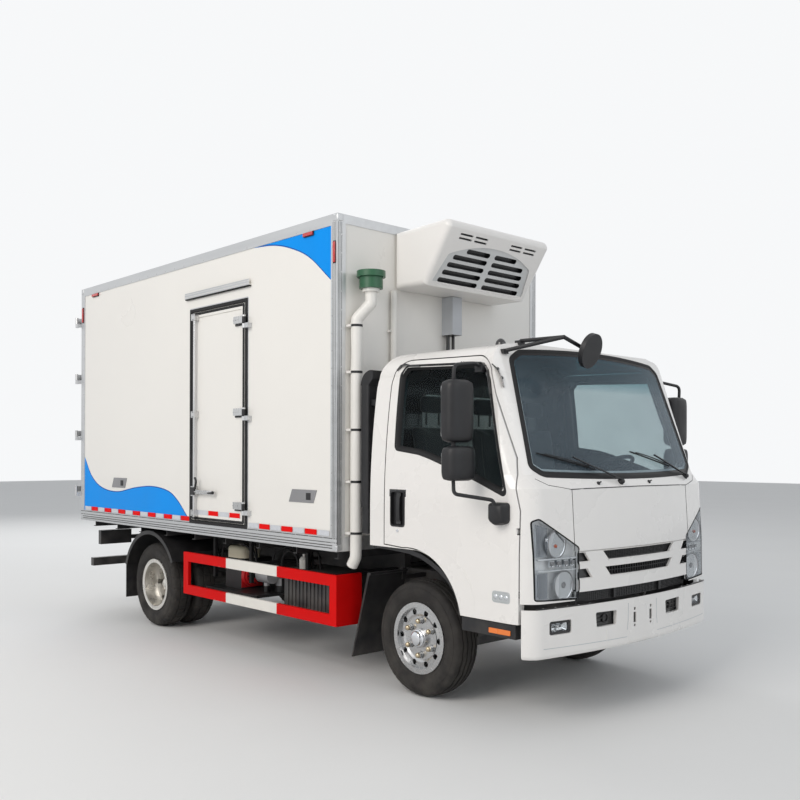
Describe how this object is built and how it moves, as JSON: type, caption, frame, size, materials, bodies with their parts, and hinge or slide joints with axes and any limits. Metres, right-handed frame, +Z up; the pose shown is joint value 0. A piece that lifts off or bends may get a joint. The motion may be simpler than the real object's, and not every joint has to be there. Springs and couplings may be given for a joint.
{
  "type": "refrigerated truck",
  "caption": "Light forward-control truck with a hinged cab, insulated box body with side and rear doors, cooling unit on the box nose and twin rear wheels.",
  "frame": {"origin": "middle of the footprint box on the road", "axes": "+Z up, the truck faces -Y, its left side is +X"},
  "size_m": [2.58, 5.8998, 3.2219],
  "materials": {
    "cab_paint": "gloss white enamel",
    "panel_white": "white glass fibre skin",
    "aluminium_rail": "mill finish extrusion",
    "chassis_paint": "satin black",
    "cast_engine": "rough casting",
    "tank_metal": "satin black",
    "silencer_steel": "dull, heat stained",
    "engine_paint": "beige enamel",
    "bumper_white": "gloss white enamel",
    "guard_paint": "white with red ends",
    "black_plastic": "grained black",
    "clear_glass": "clear",
    "lamp_reflector": "bright reflector",
    "seat_cloth": "woven, dark grey",
    "tyre_rubber": "worn black",
    "polished_alloy": "polished",
    "wheel_silver": "silver enamel",
    "stainless": "brushed stainless",
    "pipe_grey": "white grey"
  },
  "bodies": {
    "chassis": {"chassis_frame": "chassis_paint", "engine_block": "cast_engine", "front_axle": "chassis_paint", "rear_axle": "chassis_paint", "leaf_springs": "chassis_paint", "fuel_tank": "tank_metal", "battery_box": "chassis_paint", "exhaust": "silencer_steel", "auxiliary_engine": "engine_paint", "front_bumper": "bumper_white", "side_guards": "guard_paint", "mudguards": "black_plastic", "rear_underrun": "chassis_paint", "box_floor": "aluminium_rail", "box_front_wall": "panel_white", "box_left_wall": "panel_white", "box_right_wall": "panel_white", "box_roof": "panel_white", "box_trim": "aluminium_rail", "fridge_unit": "panel_white", "wall_pipes": "pipe_grey"},
    "cab": {"cab_shell": "cab_paint", "cab_glass": "clear_glass", "front_panel": "cab_paint", "headlamps": "lamp_reflector", "lamp_covers": "clear_glass", "cab_trim": "black_plastic", "dashboard": "black_plastic", "seats": "seat_cloth", "steering_wheel": "black_plastic", "front_mirror": "black_plastic", "air_intake": "black_plastic"},
    "cab_door_left": {"cab_door_left": "cab_paint", "door_glass_left": "clear_glass", "mirrors_left": "black_plastic"},
    "cab_door_right": {"cab_door_right": "cab_paint", "door_glass_right": "clear_glass", "mirrors_right": "black_plastic"},
    "knuckle_left": {"knuckle_left": "chassis_paint"},
    "knuckle_right": {"knuckle_right": "chassis_paint"},
    "tie_rod": {"tie_rod": "chassis_paint"},
    "wheel_front_left": {"tyre_front_left": "tyre_rubber", "rim_front_left": "polished_alloy"},
    "wheels_rear_left": {"tyres_rear_left": "tyre_rubber", "rims_rear_left": "wheel_silver"},
    "wheel_front_right": {"tyre_front_right": "tyre_rubber", "rim_front_right": "polished_alloy"},
    "wheels_rear_right": {"tyres_rear_right": "tyre_rubber", "rims_rear_right": "wheel_silver"},
    "side_door": {"side_door": "panel_white", "side_gear": "stainless"},
    "rear_door_left": {"rear_door_left": "panel_white", "rear_gear_left": "stainless"},
    "rear_door_right": {"rear_door_right": "panel_white", "rear_gear_right": "stainless"}
  },
  "joints": [
    {"name": "cab_tilt", "type": "hinge", "parent": "chassis", "child": "cab", "pos_m": [0, -2.74, 0.8], "axis": [1, 0, 0], "range_deg": [0, 45]},
    {"name": "cab_door_left_swing", "type": "hinge", "parent": "cab", "child": "cab_door_left", "pos_m": [0.978, -2.745, 1.3], "axis": [0, 0, -1], "range_deg": [0, 70]},
    {"name": "cab_door_right_swing", "type": "hinge", "parent": "cab", "child": "cab_door_right", "pos_m": [-0.978, -2.745, 1.3], "axis": [0, 0, 1], "range_deg": [0, 70]},
    {"name": "steer_left", "type": "hinge", "parent": "chassis", "child": "knuckle_left", "pos_m": [0.7, -1.84, 0.378], "axis": [0, 0, 1], "range_deg": [-35, 35]},
    {"name": "steer_right", "type": "hinge", "parent": "chassis", "child": "knuckle_right", "pos_m": [-0.7, -1.84, 0.378], "axis": [0, 0, 1], "range_deg": [-35, 35]},
    {"name": "tie_rod_pivot", "type": "hinge", "parent": "knuckle_left", "child": "tie_rod", "pos_m": [0.7, -1.715, 0.292], "axis": [0, 0, 1], "range_deg": [-35, 35]},
    {"name": "wheel_front_left_spin", "type": "hinge", "parent": "knuckle_left", "child": "wheel_front_left", "pos_m": [0.794, -1.84, 0.378], "axis": [1, 0, 0], "continuous": true},
    {"name": "wheel_front_right_spin", "type": "hinge", "parent": "knuckle_right", "child": "wheel_front_right", "pos_m": [-0.794, -1.84, 0.378], "axis": [1, 0, 0], "continuous": true},
    {"name": "wheels_rear_left_spin", "type": "hinge", "parent": "chassis", "child": "wheels_rear_left", "pos_m": [0.7625, 1.52, 0.378], "axis": [1, 0, 0], "continuous": true},
    {"name": "wheels_rear_right_spin", "type": "hinge", "parent": "chassis", "child": "wheels_rear_right", "pos_m": [-0.7625, 1.52, 0.378], "axis": [1, 0, 0], "continuous": true},
    {"name": "side_door_swing", "type": "hinge", "parent": "chassis", "child": "side_door", "pos_m": [-1.1, -0.125, 1.9], "axis": [0, 0, 1], "range_deg": [0, 170]},
    {"name": "rear_door_left_swing", "type": "hinge", "parent": "chassis", "child": "rear_door_left", "pos_m": [1.095, 2.935, 2], "axis": [0, 0, -1], "range_deg": [0, 265]},
    {"name": "rear_door_right_swing", "type": "hinge", "parent": "chassis", "child": "rear_door_right", "pos_m": [-1.095, 2.935, 2], "axis": [0, 0, 1], "range_deg": [0, 265]}
  ],
  "couplings": [
    {"joint": "steer_right", "follows": "steer_left", "ratio": 1},
    {"joint": "tie_rod_pivot", "follows": "steer_left", "ratio": -1}
  ]
}
